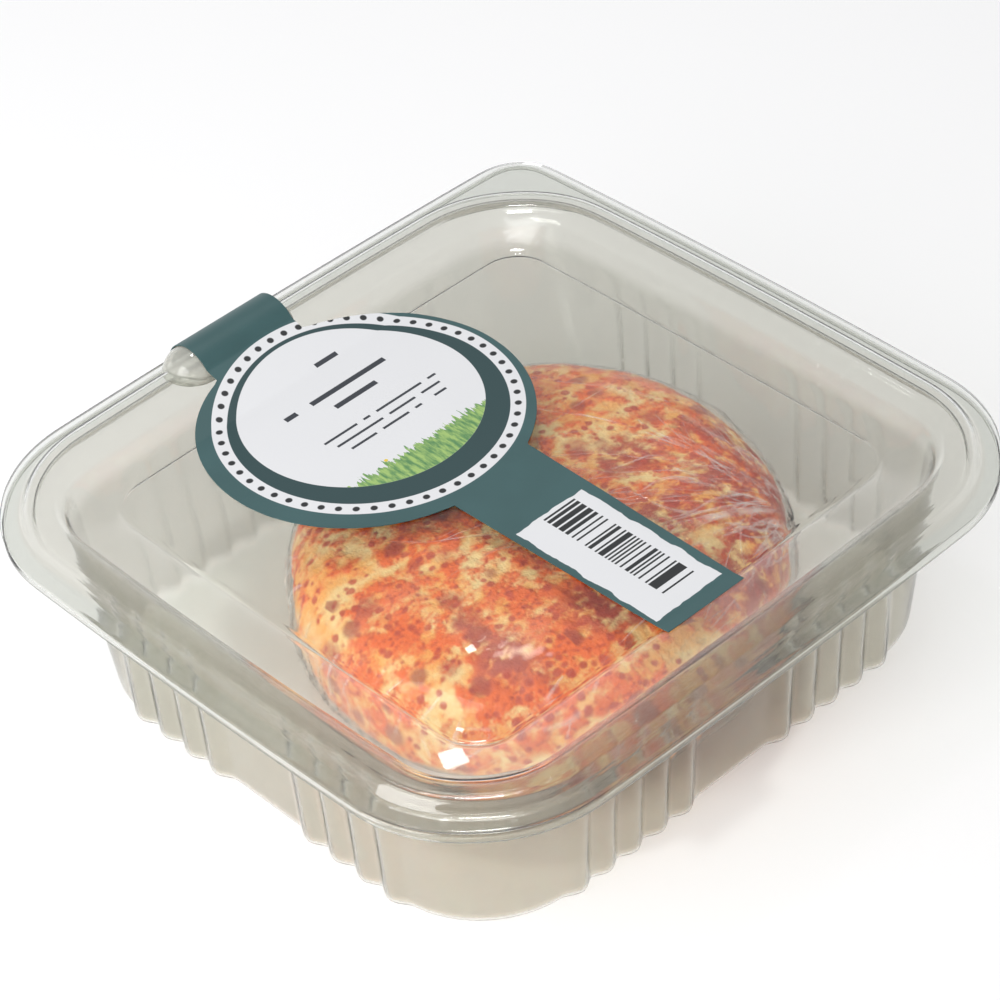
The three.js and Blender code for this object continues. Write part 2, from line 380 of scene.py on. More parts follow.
def addBump(tree, shader, height, strength, distance):
    bump = tree.nodes.new("ShaderNodeBump")
    bump.inputs["Strength"].default_value = strength
    bump.inputs["Distance"].default_value = distance
    tree.links.new(height, bump.inputs["Height"])
    tree.links.new(bump.outputs["Normal"], shader.inputs["Normal"])


# Lamps reach what is behind the sheet: rays from lamps pass it straight, tinted alike.
def letLampsThrough(tree, shaderOutput, tint):
    clear = tree.nodes.new("ShaderNodeBsdfTransparent")
    clear.inputs["Color"].default_value = (*tint, 1)
    path = tree.nodes.new("ShaderNodeLightPath")
    mix = tree.nodes.new("ShaderNodeMixShader")
    either = mathNode(tree, "MAXIMUM", path.outputs["Is Shadow Ray"], path.outputs["Is Diffuse Ray"])
    tree.links.new(either, mix.inputs["Fac"])
    tree.links.new(shaderOutput, mix.inputs[1])
    tree.links.new(clear.outputs["BSDF"], mix.inputs[2])
    tree.links.new(mix.outputs["Shader"], tree.nodes["Material Output"].inputs["Surface"])


clearSheetLook = {
    "ior": 1.48, "waves": 0.25, "waveHeight": 0.0006, "scuffs": 0.3,
    "lid": (0.93, 0.94, 0.92), "hinge": (0.58, 0.58, 0.53), "hingeClear": 0.65,
    # The wall, upper and rim tints, greyer than the floor's, are painted shade.
    "floor": (0.92, 0.91, 0.86), "wall": (0.65, 0.635, 0.58), "upper": (0.80, 0.785, 0.735),
    "rim": (0.80, 0.81, 0.77),
    "wallFrom": (0.0008, 0.003), "upperFrom": (0.029, 0.033), "rimFrom": (1.2, 2.2),
}


# 1 on the flange, outside the raised ring's rounded square.
def flangeMask(tree, axes):
    halfX, halfY, radius = boxShape["ring"]
    sides = []
    for axis, half in (("X", halfX), ("Y", halfY)):
        beyond = mathNode(tree, "SUBTRACT", mathNode(tree, "ABSOLUTE", axes[axis]), (half - radius) * mm)
        sides.append(mathNode(tree, "MAXIMUM", beyond, 0.0))
    low, high = clearSheetLook["rimFrom"]
    return spread(tree, farNode(tree, *sides), (radius + low) * mm, (radius + high) * mm)


# The tray's sheet is clear on the floor; the greyer tints on the fluted wall, its upper band and the rim are
# painted shade for the darker look of those parts.
def trayTintWithPaintedShade(tree, place):
    look = clearSheetLook
    axes = splitAxes(tree, place)
    colour = mixColour(tree, spread(tree, axes["Z"], *look["wallFrom"]), look["floor"], look["wall"])
    colour = mixColour(tree, spread(tree, axes["Z"], *look["upperFrom"]), colour, look["upper"])
    return mixColour(tree, flangeMask(tree, axes), colour, look["rim"])


# Without a tint of its own, the sheet has the tray's.
def clearSheetMaterial(name, tint=None, clear=1.0):
    look = clearSheetLook
    material, tree, shader, place = newMaterial(name, tint)
    makeClear(shader, look["ior"], clear)
    if not tint:
        tree.links.new(trayTintWithPaintedShade(tree, place), shader.inputs["Base Color"])
    waves = tree.nodes.new("ShaderNodeGroup")
    waves.node_tree = sheetWaves
    waves.inputs["Scuffs"].default_value = look["scuffs"]
    tree.links.new(place, waves.inputs["Vector"])
    tree.links.new(waves.outputs["Roughness"], shader.inputs["Roughness"])
    addBump(tree, shader, waves.outputs["Height"], look["waves"], look["waveHeight"])
    letLampsThrough(tree, shader.outputs["BSDF"], tuple(math.sqrt(c) for c in look["lid"]))
    return material


lidSheet = clearSheetMaterial("clearLid", clearSheetLook["lid"])
hingeSheet = clearSheetMaterial("clearHinge", clearSheetLook["hinge"], clearSheetLook["hingeClear"])
traySheet = clearSheetMaterial("clearTray")


# Tray

# Floor rows are height, inset and share of the flutes' depth, upper rows height and share.
trayShape = {
    "lip": 1.0, "fade": 0.45, "fadeEnd": 26.5, "wallLevels": (3.5, 8.0, 14.0, 20.0, 24.0), "tabLess": 3.0,
    "floorRows": ((0, 9.0, 0), (0, 4.0, 0.3), (0, 1.3, 0.85), (0.35, 0.45, 0.95), (1.3, 0, 1)),
    "upperRows": ((26.5, 0.52), (28.7, 0.3), (30.0, 0.06), (31.0, 0)), "beadFoot": 2.0,
    "rimRows": (
        ("well", "top", -1.1, -0.8), ("well", "top", -0.3, 0.6, 2.2), ("well", "top", 0, 1.9, 4.1),
        ("ring", "top", 0, -2.3), ("ring", "top", -0.4, -1.8), ("ring", "under", 0.3, -1.3),
        ("ring", "under", 0, -0.9), ("flange", "under", 0, -1.6, None, None, 0.3),
        ("flange", "under", 0, -0.75), ("flange", "under", -0.25, -0.6), ("flange", "lip", 0, -0.6),
    ),
}


def wallRow(z, inset=0.0, depth=0.0):
    floor, well, bead = boxShape["floor"], boxShape["well"], boxShape["cadSheet"] + boxShape["gap"]
    rise = z / (boxShape["ringTop"] - bead)
    size = [low + (high - bead - low) * rise - inset for low, high in zip(floor, well)]
    return outline(size, z, swell=boxShape["bow"] * rise, depth=depth)


def makeTray():
    shape, full = trayShape, fluteShape["depth"]
    down = 2 * boxShape["cadSheet"]
    top = boxShape["ringTop"] - down - boxShape["gap"]
    under = boxShape["flangeTop"] - down - boxShape["gap"]
    levels = {"top": top, "under": under, "lip": under - shape["lip"]}
    rows = [wallRow(z, inset, full * share) for z, inset, share in shape["floorRows"]]
    rows += [wallRow(z, 0, full * (1 - shape["fade"] * z / shape["fadeEnd"])) for z in shape["wallLevels"]]
    rows += [wallRow(z, 0, full * share) for z, share in (*shape["upperRows"], (top - shape["beadFoot"], 0))]
    rows += sheetRows(shape["rimRows"], levels, boxShape["tabCorner"] - shape["tabLess"])
    tray = loftShell("trayShell", rows, floorDown=True)
    giveThickness(tray)
    finishPiece(tray, traySheet, "tray")
    return tray


trayShell = makeTray()
print("tray made:", len(trayShell.data.polygons), "faces")


# Lid: flat recessed panel, sloping well, raised ring, step and flange. The rows are as in sheetRows.

lidShape = {
    "slopeSag": 0.5,
    "rows": (
        ("panel", "panelTop", 0, -5, -1, 0.3), ("panel", "panelTop", 0, -1.4, None, 0.4),
        ("panel", "panelTop", 0, -0.75, None, 0.4), ("panel", "panelTop", -0.22, -0.35, None, 0.4),
        ("panel", "panelTop", -0.2, 0.05, None, 0.4), ("panel", "panelTop", 0.15, 0.5, None, 0.45),
        ("slope", "slope", 0, 0, None, 0.9), ("well", "ringTop", -0.75, -0.8),
        ("well", "ringTop", -0.4, 0.25, 1.2), ("well", "ringTop", -0.02, 1.2, 3.4),
        ("well", "ringTop", 0, 2.0, 4.0), ("ring", "ringTop", 0, -1.5), ("ring", "ringTop", -0.05, -0.8),
        ("ring", "ringTop", -0.5, -0.1), ("ring", "flangeTop", 0.35, 0.7), ("ring", "flangeTop", 0.02, 1.1),
        ("ring", "flangeTop", 0, 1.7), ("flange", "flangeTop", 0, -1.0), ("flange", "flangeTop", 0, -0.3),
        ("flange", "flangeTop", -0.15, 0),
    ),
}


def makeLid():
    levels = {name: boxShape[name] for name in ("ringTop", "flangeTop", "panelTop")}
    levels["slope"] = 0.5 * (levels["panelTop"] + levels["ringTop"] - lidShape["slopeSag"])
    rows = sheetRows(lidShape["rows"], levels, boxShape["tabCorner"])
    lid = loftShell("lidShell", rows, floorDown=False)
    giveThickness(lid)
    finishPiece(lid, lidSheet, "lid")
    return lid


lidShell = makeLid()
print("lid made:", len(lidShell.data.polygons), "faces")


# Hinge: a half barrel with round ends over the ring and flange

hingeShape = {"radius": 5.65, "y": 61.6, "z": 35.1, "from": -20.8, "to": 6.6, "clearance": 0.05}


def makeHinge():
    shape = hingeShape
    length = shape["to"] - shape["from"] - 2 * shape["radius"]
    start = shape["from"] + shape["radius"]
    place = [c * mm for c in (start, shape["y"], shape["z"])]
    hinge = addPiece("hingeBulge", bpy.ops.mesh.primitive_uv_sphere_add, segments=48, ring_count=24,
                     radius=shape["radius"] * mm, location=place, rotation=(0, math.pi / 2, 0))
    applyPlace(hinge)
    selectPoints(hinge, [point.co.x > start * mm + levelReach for point in hinge.data.vertices])
    bpy.ops.transform.translate(value=(length * mm, 0, 0))
    bpy.ops.mesh.select_all(action="SELECT")
    cut = (boxShape["flangeTop"] + shape["clearance"]) * mm
    bpy.ops.mesh.bisect(plane_co=(0, 0, cut), plane_no=(0, 0, 1), clear_inner=True)
    bpy.ops.mesh.select_all(action="SELECT")
    bpy.ops.mesh.normals_make_consistent(inside=False)
    objectMode()
    giveThickness(hinge, even=False)
    finishPiece(hinge, hingeSheet, "lid")
    return hinge


hingeBulge = makeHinge()
print("hinge made")


# Label: a paper band that lies on the panel, climbs the well and goes over the hinge

labelShape = {
    "paper": 0.16, "lift": 0.1, "disc": (-3.5, 29.4, 29.5), "strapHalf": 9.6, "strapEndHalf": 8.7,
    "front": -48.5, "bandX": -5.8, "bandHalf": 9.9, "rowStep": 0.55, "columns": 26,
    "bendSteps": 24, "overEdge": 0.1, "climbTurn": 1.05, "climbShort": 1.3, "climbSide": 0.9,
    "ripple": 0.12, "ripples": (0.06, 0.09), "ripplesUntil": 46, "creaseAngle": 40,
}


# Places along the band: (y, z) and the length of paper up to there, from the disc's level line.
def bandPath():
    shape, hinge = labelShape, hingeShape
    onPanel = boxShape["panelTop"] + shape["lift"]
    foot = boxShape["panel"][1] - 0.2
    overHinge = hinge["radius"] + shape["lift"]
    rise = math.asin((boxShape["ringTop"] + shape["lift"] - hinge["z"]) / overHinge)
    startAngle = math.pi - rise * shape["climbTurn"]
    corners = [(shape["front"], onPanel + 0.25), (-46.2, onPanel), (foot, onPanel)]
    for step in range(shape["bendSteps"] + 1):
        angle = startAngle - (startAngle + shape["overEdge"]) * step / shape["bendSteps"]
        corners.append((hinge["y"] + overHinge * math.cos(angle), hinge["z"] + overHinge * math.sin(angle)))
    path = []
    for (y0, z0), (y1, z1) in zip(corners, corners[1:]):
        count = max(1, round(math.hypot(y1 - y0, z1 - z0) / shape["rowStep"]))
        path += [(y0 + (y1 - y0) * i / count, z0 + (z1 - z0) * i / count) for i in range(count)]
    path.append(corners[-1])
    return path


def bandEdges(y, z):
    shape = labelShape
    discX, discY, radius = shape["disc"]
    climb = min(z, boxShape["ringTop"]) - boxShape["panelTop"] - shape["lift"]
    climb = max(0.0, climb) if y > 0 else 0.0
    reach = math.sqrt(max(0.0, radius ** 2 - (y + climb * shape["climbShort"] - discY) ** 2))
    back = discY - radius
    taper = (shape["strapEndHalf"] - shape["strapHalf"]) * (back - y) / (back - shape["front"])
    strap = min(shape["strapHalf"] + taper, shape["strapHalf"]) if y < discY else shape["bandHalf"]
    middle = 0 if y < discY else shape["bandX"]
    disc = discX - climb * shape["climbSide"]
    return min(middle - strap, disc - reach), max(middle + strap, disc + reach)


def makeLabel(material):
    shape, path = labelShape, bandPath()
    columns = shape["columns"]
    label = addPiece("paperLabel", bpy.ops.mesh.primitive_grid_add,
                     x_subdivisions=columns, y_subdivisions=len(path) - 1, size=0.1)
    mesh = label.data
    printMap = mesh.uv_layers.active or mesh.uv_layers.new(name="UVMap")
    length = [0.0]
    for (y0, z0), (y1, z1) in zip(path, path[1:]):
        length.append(length[-1] + math.hypot(y1 - y0, z1 - z0))
    places, flat = [], []
    for row, (y, z) in enumerate(path):
        left, right = bandEdges(y, z)
        for column in range(columns + 1):
            x = left + (right - left) * column / columns
            wave = noise.noise(Vector((x * shape["ripples"][0], y * shape["ripples"][1], 3.0)))
            ripple = shape["ripple"] * wave if y < shape["ripplesUntil"] else 0.0
            flat.append((x, shape["front"] + length[row]))
            places.append(Vector((x, y, z + max(0.0, ripple))) * mm)
    setPlaces(mesh, places)
    printMap.data.foreach_set("uv", [c for loop in mesh.loops for c in flat[loop.vertex_index]])
    makeActive(label)
    editMode("FACE")
    alignFaces(label, lambda mesh: sum(face.normal.z for face in mesh.polygons) < 0)
    applyModifier(label, "SOLIDIFY", thickness=shape["paper"] * mm, offset=1)
    shadeSmooth(label, shape["creaseAngle"])
    finishPiece(label, material, "label")
    return label


# Print on the band. The map's units are mm: X across, Y along the paper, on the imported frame's numbers.
# A rule is its middle, half sizes and dash length; blades is their stretch and reach, gaps a share of dashes.
printLook = {
    "green": (0.034, 0.089, 0.092), "deepGreen": (0.018, 0.052, 0.056), "white": (0.70, 0.705, 0.72),
    "black": (0.012, 0.014, 0.016), "leaf": (0.035, 0.19, 0.03), "lightLeaf": (0.30, 0.48, 0.10),
    "yellow": (0.72, 0.52, 0.06), "ink": (0.03, 0.035, 0.045), "edge": 0.08, "greenLift": 1.12,
    "ring": (-2.4, 29.9), "ringOuter": 27.2, "ringInner": 24.5, "dots": 54, "dotRadius": 0.62,
    "disc": (-2.3, 32.0), "discRadius": 21.6,
    "rules": ((-3, 46.5, 8.0, 0.5, 9.0), (-2, 39.0, 11.5, 0.6, 3.3), (-2, 35.2, 6.2, 0.6, 3.3),
              (-1, 29.0, 13.5, 0.28, 1.5), (-1, 26.8, 12.5, 0.28, 1.5), (0, 24.6, 11.0, 0.28, 1.5)),
    "gaps": 0.22, "blades": ((0.9, 0.12, 1), 9.0), "bladeShade": (1.4, 0.3, 1), "leafEdge": 17.0,
    "leafCover": 0.92, "blossom": (0.28, 0.19, 1.5), "field": (-0.4, -28.8, 7.6, 16.2), "ragged": 1.6,
    "bars": (1.1, -27.6, 3.6, 14.2), "barsEachMm": 2.6, "barGaps": 0.47,
    "wave": (90, 3), "rough": (0.15, 0.38), "fibre": (2500, 2), "fibreBump": (0.1, 0.0001),
}


def softEdge(tree, reach, away):
    inside = mathNode(tree, "SUBTRACT", reach, away)
    return mathNode(tree, "MULTIPLY_ADD", inside, 1 / printLook["edge"], 0.5, clamp=True)


def roundMask(tree, u, v, centre, radius):
    x = mathNode(tree, "SUBTRACT", u, centre[0])
    y = mathNode(tree, "SUBTRACT", v, centre[1])
    far = farNode(tree, x, y)
    return softEdge(tree, radius, far), x, y, far


def boxMask(tree, u, v, box):
    middleX, middleY, halfX, halfY = box
    sides = []
    for value, middle, half in ((u, middleX, halfX), (v, middleY, halfY)):
        away = mathNode(tree, "ABSOLUTE", mathNode(tree, "SUBTRACT", value, middle))
        sides.append(softEdge(tree, half, away))
    return times(tree, *sides)


# A random value for each whole step along a line.
def randomSteps(tree, steps):
    cell = tree.nodes.new("ShaderNodeTexWhiteNoise")
    cell.noise_dimensions = "1D"
    tree.links.new(mathNode(tree, "FLOOR", steps), cell.inputs["W"])
    return cell.outputs["Value"]


def printDisc(tree, u, v, green):
    look = printLook
    outer, x, y, far = roundMask(tree, u, v, look["ring"], look["ringOuter"])
    inner = roundMask(tree, u, v, look["ring"], look["ringInner"])[0]
    disc = roundMask(tree, u, v, look["disc"], look["discRadius"])[0]
    ring = mathNode(tree, "SUBTRACT", outer, inner)
    turn = times(tree, mathNode(tree, "ARCTAN2", y, x), look["dots"] / (2 * math.pi))
    nearDot = mathNode(tree, "SUBTRACT", mathNode(tree, "FRACT", turn), 0.5)
    middleRing = (look["ringOuter"] + look["ringInner"]) / 2
    alongDot = times(tree, nearDot, 2 * math.pi * middleRing / look["dots"])
    fromDot = farNode(tree, alongDot, mathNode(tree, "SUBTRACT", far, middleRing))
    dot = mathNode(tree, "SUBTRACT", look["dotRadius"], fromDot)
    dot = times(tree, mathNode(tree, "MULTIPLY_ADD", dot, 6, 0.5, clamp=True), ring)
    colour = mixColour(tree, inner, green, look["deepGreen"])
    for mask, tone in ((ring, "white"), (dot, "black"), (disc, "white")):
        colour = mixColour(tree, mask, colour, look[tone])
    return colour, disc


def printMeadow(tree, coordinates, v, disc, colour):
    look = printLook
    stretch, reach = look["blades"]
    blades = noiseNode(tree, stretched(tree, coordinates, stretch), 1.0, 3, 0.7)
    edge = mathNode(tree, "MULTIPLY_ADD", blades, reach, look["leafEdge"] - reach / 2)
    meadow = times(tree, disc, mathNode(tree, "GREATER_THAN", edge, v))
    shade = noiseNode(tree, stretched(tree, coordinates, look["bladeShade"]), 1.0, 3, 0.6)
    leaves = mixColour(tree, spread(tree, shade, 0.35, 0.65), look["leaf"], look["lightLeaf"])
    colour = mixColour(tree, times(tree, meadow, look["leafCover"]), colour, leaves)
    scale, size, above = look["blossom"]
    cells = tree.nodes.new("ShaderNodeTexVoronoi")
    cells.inputs["Scale"].default_value = scale
    tree.links.new(coordinates, cells.inputs["Vector"])
    blossom = mathNode(tree, "GREATER_THAN", size, cells.outputs["Distance"])
    blossom = times(tree, blossom, disc)
    nearEdge = mathNode(tree, "GREATER_THAN", look["leafEdge"] + above, v)
    return mixColour(tree, times(tree, blossom, nearEdge), colour, look["yellow"])


def labelMaterial():
    look = printLook
    material, tree, shader, place = newMaterial("labelPaper")
    coordinates = tree.nodes.new("ShaderNodeTexCoord").outputs["UV"]
    axes = splitAxes(tree, coordinates)
    u, v = axes["X"], axes["Y"]
    paperWave = noiseNode(tree, place, *look["wave"])
    lifted = tuple(c * look["greenLift"] for c in look["green"])
    green = mixColour(tree, spread(tree, paperWave, 0.3, 0.7), look["green"], lifted)
    colour, disc = printDisc(tree, u, v, green)
    colour = printMeadow(tree, coordinates, v, disc, colour)
    for number, (*box, dash) in enumerate(look["rules"]):
        dashes = randomSteps(tree, mathNode(tree, "MULTIPLY_ADD", u, 1 / dash, number * 7.3))
        shown = mathNode(tree, "GREATER_THAN", dashes, look["gaps"])
        rule = times(tree, boxMask(tree, u, v, box), shown)
        colour = mixColour(tree, rule, colour, look["ink"])
    ragged = noiseNode(tree, coordinates, 0.22, 2)
    ragged = mathNode(tree, "MULTIPLY_ADD", ragged, look["ragged"], -look["ragged"] / 2)
    raggedPlace = [mathNode(tree, "ADD", axis, ragged) for axis in (u, v)]
    colour = mixColour(tree, boxMask(tree, *raggedPlace, look["field"]), colour, look["white"])
    bar = randomSteps(tree, times(tree, v, look["barsEachMm"]))
    bar = mathNode(tree, "GREATER_THAN", bar, look["barGaps"])
    bars = times(tree, boxMask(tree, u, v, look["bars"]), bar)
    colour = mixColour(tree, bars, colour, look["black"])
    tree.links.new(colour, shader.inputs["Base Color"])
    addRoughness(tree, shader, paperWave, *look["rough"])
    addBump(tree, shader, noiseNode(tree, place, *look["fibre"]), *look["fibreBump"])
    return material


paperLabel = makeLabel(labelMaterial())
print("label made")


# Cheese: an oval round with full sides and soft edges

cheeseShape = {
    "centre": (2.9, -5.6), "across": 44.0, "along": 48.0, "turn": -math.pi / 4,
    "bottom": 0.9, "top": 32.4, "squareness": 3.4, "inset": 1.5, "flatBelow": 2.0, "lumpsFrom": 6.0,
    "lumps": ((0.045, (3, 1, 7), 1.1), (0.16, (0, 0, 0), 0.45), (0.55, (0, 0, 0), 0.16)),
}


def roundForm(name, inset):
    piece = addPiece(name, bpy.ops.mesh.primitive_ico_sphere_add, subdivisions=7, radius=1.0)
    shape = cheeseShape
    half = (shape["top"] - shape["bottom"]) / 2 - inset
    middleX, middleY = shape["centre"]
    middleZ = (shape["top"] + shape["bottom"]) / 2
    across, along = shape["across"] - inset, shape["along"] - inset
    c, s = math.cos(shape["turn"]), math.sin(shape["turn"])
    power = shape["squareness"]
    places = []
    for vertex in piece.data.vertices:
        way = vertex.co.normalized()
        u = way.x * c + way.y * s
        v = -way.x * s + way.y * c
        level = math.hypot(u / across, v / along) ** power + abs(way.z / half) ** power
        place = way * level ** (-1 / power)
        places.append(Vector((middleX + place.x, middleY + place.y, middleZ + place.z)) * mm)
    setPlaces(piece.data, places)
    return piece


# Moves the points out by a height in mm that fades to nothing at the flat underside.
def pushOut(piece, fullFrom, height):
    places = []
    for vertex in piece.data.vertices:
        low = smoothStep(cheeseShape["flatBelow"], fullFrom, vertex.co.z / mm)
        places.append(vertex.co + vertex.normal * height(vertex.co) * low * mm)
    setPlaces(piece.data, places)


def lumps(place):
    place = Vector([c / mm for c in place])
    return sum(noise.noise(place * scale + Vector(move)) * high for scale, move, high in cheeseShape["lumps"])


def makeCheese(material):
    cheese = roundForm("cheeseRound", cheeseShape["inset"])
    pushOut(cheese, cheeseShape["lumpsFrom"], lumps)
    shadeSmooth(cheese)
    finishPiece(cheese, material, "cheese")
    return cheese


# A noise is its scale, detail and roughness; a grain its colour, scale, share, size and cover. Edges are the
# values between which a layer comes in. Bare spots are place, radius and strength, red ones place and radius.
cheeseLook = {
    "cream": (0.90, 0.65, 0.29), "butter": (0.90, 0.40, 0.085), "orange": (0.84, 0.135, 0.010),
    "rust": (0.50, 0.036, 0.006), "maroon": (0.32, 0.026, 0.010), "paintedFilmSheen": (0.88, 0.62, 0.52),
    "blot": (0.42, 0.045, 0.018), "deep": (0.38, 0.028, 0.012),
    "cloud": (55, 2, 0.5), "patch": (150, 4, 0.6), "coat": (330, 4, 0.62), "dust": (1000, 2, 0.5),
    "butterEdge": (0.34, 0.58), "coverEdge": (0.42, 0.54), "dustEdge": (0.50, 0.68), "deepEdge": (0.34, 0.56),
    "sideHeight": (0.014, 0.031), "sideBare": 0.06, "dustCover": 0.75, "deepCover": 0.9, "paintedSheenCover": 0.12,
    "paintedSheenStretch": (60, 60, 30), "rough": (0.3, 0.45), "bump": (0.7, 0.0014),
    "grains": (("rust", 540, 0.45, 0.34, 0.85), ("maroon", 190, 0.24, 0.3, 0.75),
               ("blot", 120, 0.26, 0.24, 0.6)),
    "bare": ((-3, -46, 26, 10, 0.20), (-36, 12, 24, 17, 0.18), (32, 8, 30, 10, 0.04),
             (-37, -24, 26, 10, 0.08), (-15, -8, 32, 12, 0.06), (5, -48, 20, 9, 0.12)),
    "red": ((17, -24, 31, 9), (30, -26, 30, 13), (14, -43, 28, 10), (24, -39, 28, 12), (40, -16, 26, 10),
            (-8, -31, 31, 8), (37, -30, 24, 10), (22, -8, 32, 9), (-26, -28, 29, 7)),
}


# Round grains scattered through the coat: a share of the cells, each with its own size.
def makeGrains():
    group, into, out = newGroup(
        "PaprikaGrains",
        [("Vector", "NodeSocketVector", None), ("Scale", "NodeSocketFloat", 300.0),
         ("Share", "NodeSocketFloat", 0.3), ("Size", "NodeSocketFloat", 0.2)],
        [("Mask", "NodeSocketFloat")],
    )
    cells = group.nodes.new("ShaderNodeTexVoronoi")
    group.links.new(into.outputs["Scale"], cells.inputs["Scale"])
    group.links.new(into.outputs["Vector"], cells.inputs["Vector"])
    pick = group.nodes.new("ShaderNodeSeparateColor")
    group.links.new(cells.outputs["Color"], pick.inputs[0])
    chosen = mathNode(group, "LESS_THAN", pick.outputs[0], into.outputs["Share"])
    size = mathNode(group, "MULTIPLY_ADD", pick.outputs[1], 0.9, 0.55)
    size = times(group, size, into.outputs["Size"])
    wobble = noiseNode(group, into.outputs["Vector"], 900, 2)
    reach = mathNode(group, "MULTIPLY_ADD", wobble, 0.16, mathNode(group, "SUBTRACT", size, 0.08))
    edge = spread(group, mathNode(group, "SUBTRACT", reach, cells.outputs["Distance"]), -0.11, 0.12)
    group.links.new(times(group, edge, chosen), out.inputs["Mask"])
    return group


paprikaGrains = makeGrains()


def grainMask(tree, place, scale, share, size):
    node = tree.nodes.new("ShaderNodeGroup")
    node.node_tree = paprikaGrains
    node.inputs["Scale"].default_value = scale
    node.inputs["Share"].default_value = share
    node.inputs["Size"].default_value = size
    tree.links.new(place, node.inputs["Vector"])
    return node.outputs["Mask"]


# 1 round a place of the cheese, fading to 0 at the radius.
def nearSpot(tree, place, centre, radius):
    spot = tree.nodes.new("ShaderNodeVectorMath")
    spot.operation = "DISTANCE"
    spot.inputs[1].default_value = Vector(centre) * mm
    tree.links.new(place, spot.inputs[0])
    beyond = spread(tree, spot.outputs["Value"], radius * 0.3 * mm, radius * mm)
    return mathNode(tree, "SUBTRACT", 1.0, beyond)


def cheeseMaterial():
    look = cheeseLook
    material, tree, shader, place = newMaterial("paprikaCheese")
    layers = ("cloud", "patch", "coat", "dust")
    cloud, patch, coat, dust = (noiseNode(tree, place, *look[layer]) for layer in layers)
    colour = mixColour(tree, spread(tree, patch, *look["butterEdge"]), look["cream"], look["butter"])
    height = splitAxes(tree, place)["Z"]
    side = mathNode(tree, "SUBTRACT", 1.0, spread(tree, height, *look["sideHeight"]))
    barer = times(tree, side, look["sideBare"])
    for x, y, z, radius, strength in look["bare"]:
        barer = mathNode(tree, "MULTIPLY_ADD", nearSpot(tree, place, (x, y, z), radius), strength, barer)
    thick = mathNode(tree, "MULTIPLY_ADD", cloud, 0.45, times(tree, patch, 0.55))
    thick = mathNode(tree, "SUBTRACT", thick, barer)
    cover = mathNode(tree, "MULTIPLY_ADD", coat, 0.5, times(tree, thick, 0.5))
    cover = spread(tree, cover, *look["coverEdge"])
    colour = mixColour(tree, cover, colour, look["orange"])
    dusted = times(tree, spread(tree, dust, *look["dustEdge"]), cover)
    colour = mixColour(tree, times(tree, dusted, look["dustCover"]), colour, look["rust"])
    redder = 0.0
    for x, y, z, radius in look["red"]:
        redder = mathNode(tree, "MAXIMUM", nearSpot(tree, place, (x, y, z), radius), redder)
    deep = times(tree, redder, spread(tree, coat, *look["deepEdge"]))
    colour = mixColour(tree, times(tree, deep, look["deepCover"]), colour, look["deep"])
    for tone, scale, share, size, grainCover in look["grains"]:
        grains = times(tree, grainMask(tree, place, scale, share, size), grainCover)
        colour = mixColour(tree, grains, colour, look[tone])
    # Painted sheen of the wrap film: pale streaks, and a paler cast over the low sides, mixed into the
    # cheese's colour.
    paintedFilmSheen = noiseNode(tree, stretched(tree, place, look["paintedSheenStretch"]), 1.0, 3, 0.6)
    paintedFilmSheen = times(tree, spread(tree, paintedFilmSheen, 0.5, 0.7), look["paintedSheenCover"])
    paintedFilmSheen = mathNode(tree, "MULTIPLY_ADD", side, look["paintedSheenCover"], paintedFilmSheen)
    colour = mixColour(tree, paintedFilmSheen, colour, look["paintedFilmSheen"])
    tree.links.new(colour, shader.inputs["Base Color"])
    addRoughness(tree, shader, dust, *look["rough"])
    addBump(tree, shader, mathNode(tree, "MULTIPLY_ADD", coat, 0.8, patch), *look["bump"])
    return material


cheeseRound = makeCheese(cheeseMaterial())
print("cheese made:", len(cheeseRound.data.polygons), "faces")


# Film: a thin clear wrap, tight over the top and gathered in pleats at its right and left

filmShape = {
    "thickness": 0.05, "inset": 0.75, "follow": 0.15, "creasesFrom": 5.0,
    "gather": (36.0, -36.0, 20.0), "pleats": 17, "pleatHeight": 0.55, "pleatReach": (18, 62),
    "leftSide": (-36, -42),
}


def pleats(place):
    x, y, z = (c / mm for c in place)
    gatherX, gatherY = filmShape["gather"][:2]
    away = math.hypot(x - gatherX, y - gatherY)
    angle = math.atan2(y - gatherY, gatherX - x)
    wander = noise.noise(Vector((x, y, z)) * 0.05) * 1.4
    ridge = 1 - abs(math.sin(angle * filmShape["pleats"] * 0.5 + wander))
    near = 1 - smoothStep(*filmShape["pleatReach"], away)
    side = smoothStep(*filmShape["leftSide"], x - 0.2 * (y + 10))
    upright = 1 - abs(math.sin(0.75 * y + 2.2 * noise.noise(Vector((x, y, z)) * 0.08)))
    crinkle = abs(noise.noise(Vector((x * 0.12, y * 0.34, z * 0.2)))) * 0.5
    return filmShape["pleatHeight"] * (ridge ** 3 * near + upright ** 3 * side * 0.8 + crinkle * 0.6)


def filmHeight(place):
    return max(-0.2, lumps(place)) * filmShape["follow"] + pleats(place)


def makeFilm(material):
    film = roundForm("wrapFilm", filmShape["inset"])
    pushOut(film, filmShape["creasesFrom"], filmHeight)
    applyModifier(film, "SOLIDIFY", thickness=filmShape["thickness"] * mm, offset=-1)
    shadeSmooth(film)
    finishPiece(film, material, "cheese")
    return film


filmLook = {
    "tint": (0.985, 0.975, 0.965), "ior": 1.24,
    # The fold colour is painted sheen for the light the folds catch.
    "fold": (0.93, 0.88, 0.84), "foldAlpha": 0.3, "foldRoughness": 0.22,
    "streaks": (60, 420, 240), "streakTurn": (0, 0, -0.4), "streakBump": (0.07, 0.0006),
    "tuckIor": 1.6, "tuckRoughness": 0.04,
}


